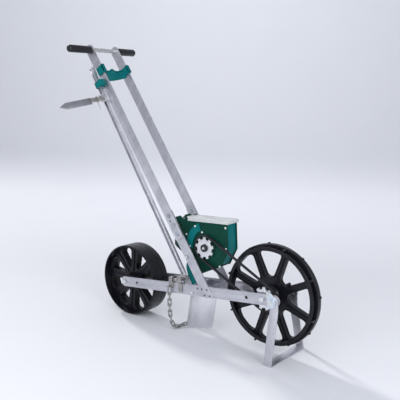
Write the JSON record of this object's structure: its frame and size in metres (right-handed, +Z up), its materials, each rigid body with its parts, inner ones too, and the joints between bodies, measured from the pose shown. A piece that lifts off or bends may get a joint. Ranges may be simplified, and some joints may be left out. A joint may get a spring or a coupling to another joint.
{
  "type": "push seeder",
  "caption": "Walk-behind precision seeder with two spoked wheels, belt-driven seed hopper, furrow opener, drag chain, row marker arm and front parking stand.",
  "frame": {"origin": "centre of the underside of the parking stand's foot, on the floor, in the mid-plane", "axes": "+X in the direction of travel, +Y to the machine's left, +Z up; the belt, sprockets and row marker are on the -Y side"},
  "size_m": [0.9088, 0.3883, 0.9476],
  "materials": {
    "aluminium_bar": "brushed, satin",
    "aluminium_machined": "machined, bright",
    "bare_steel": "rolled, lightly oiled",
    "zinc_plate": "zinc plated, blue-white",
    "black_plastic": "moulded, satin",
    "black_rubber": "matt",
    "green_plastic": "moulded, dark green, satin",
    "teal_plastic": "moulded, teal, satin",
    "clear_plastic": "clear, slightly frosted",
    "chain_steel": "zinc plated wire"
  },
  "bodies": {
    "chassis": {"rail_near": "aluminium_bar", "rail_far": "aluminium_bar", "handle_lower_near": "aluminium_bar", "handle_lower_far": "aluminium_bar", "handle_upper_near": "aluminium_bar", "handle_upper_far": "aluminium_bar", "crossbar": "aluminium_bar", "furrow_opener": "aluminium_bar", "opener_carrier": "aluminium_bar", "rod_sleeve_upper_near": "aluminium_bar", "rod_sleeve_upper_far": "aluminium_bar", "rod_sleeve_lower_near": "aluminium_bar", "rod_sleeve_lower_far": "aluminium_bar", "rear_spacer_near": "bare_steel", "rear_spacer_far": "bare_steel", "front_spacer_near": "bare_steel", "front_spacer_far": "bare_steel", "shaft_bush_near": "bare_steel", "shaft_bush_far": "bare_steel", "lid_hinge_pin": "bare_steel", "marker_clamp": "bare_steel", "chain_bracket_near": "bare_steel", "chain_bracket_far": "bare_steel", "rear_axle": "zinc_plate", "front_axle": "zinc_plate", "opener_bolt": "zinc_plate", "hopper_rod_upper": "zinc_plate", "hopper_rod_lower": "zinc_plate", "stand_stop": "zinc_plate", "stand_bolt_near": "zinc_plate", "stand_bolt_far": "zinc_plate", "marker_pivot_pin": "zinc_plate", "grip_near": "black_rubber", "grip_far": "black_rubber", "drive_belt": "black_rubber", "seed_brush": "black_rubber", "hopper_side_near": "green_plastic", "hopper_side_far": "green_plastic", "hopper_body": "teal_plastic", "disc_cover_arc": "teal_plastic", "handle_brace": "teal_plastic", "seed_chute": "teal_plastic", "covering_chain": "chain_steel"},
    "lid": {"lid": "clear_plastic"},
    "seed_shaft": {"seed_shaft": "bare_steel", "seed_sprocket": "aluminium_machined", "sprocket_hub_cap": "black_plastic", "seed_disc": "clear_plastic"},
    "front_wheel": {"front_wheel": "black_plastic", "front_sprocket": "aluminium_machined", "front_wheel_bush": "aluminium_machined"},
    "rear_wheel": {"rear_wheel": "black_plastic", "rear_wheel_bush": "aluminium_machined"},
    "stand": {"stand_strap": "aluminium_bar"},
    "marker_arm": {"marker_arm": "aluminium_bar", "marker_foot": "bare_steel", "marker_clip": "teal_plastic"},
    "marker_blade": {"marker_slider": "zinc_plate", "marker_blade": "bare_steel"}
  },
  "joints": [
    {"name": "front_wheel_spin", "type": "hinge", "parent": "chassis", "child": "front_wheel", "pos_m": [-0.052, 0, 0.183], "axis": [0, 1, 0], "continuous": true},
    {"name": "rear_wheel_spin", "type": "hinge", "parent": "chassis", "child": "rear_wheel", "pos_m": [-0.627, 0, 0.125], "axis": [0, 1, 0], "continuous": true},
    {"name": "seed_shaft_spin", "type": "hinge", "parent": "chassis", "child": "seed_shaft", "pos_m": [-0.28, 0, 0.301], "axis": [0, 1, 0], "continuous": true},
    {"name": "stand_swing", "type": "hinge", "parent": "chassis", "child": "stand", "pos_m": [-0.009, 0, 0.18734], "axis": [0, -1, 0], "range_deg": [0, 160]},
    {"name": "lid_hinge", "type": "hinge", "parent": "chassis", "child": "lid", "pos_m": [-0.37243, 0, 0.38328], "axis": [0, -1, 0], "range_deg": [0, 100]},
    {"name": "marker_swing", "type": "hinge", "parent": "chassis", "child": "marker_arm", "pos_m": [-0.37, -0.068, 0.182], "axis": [1, 0, 0], "range_deg": [0, 90]},
    {"name": "marker_blade_slide", "type": "slide", "parent": "marker_arm", "child": "marker_blade", "axis": [-0.5423, 0, 0.8402], "range_m": [-0.42, 0.025]}
  ],
  "couplings": [
    {"joint": "seed_shaft_spin", "follows": "front_wheel_spin", "ratio": 1}
  ]
}
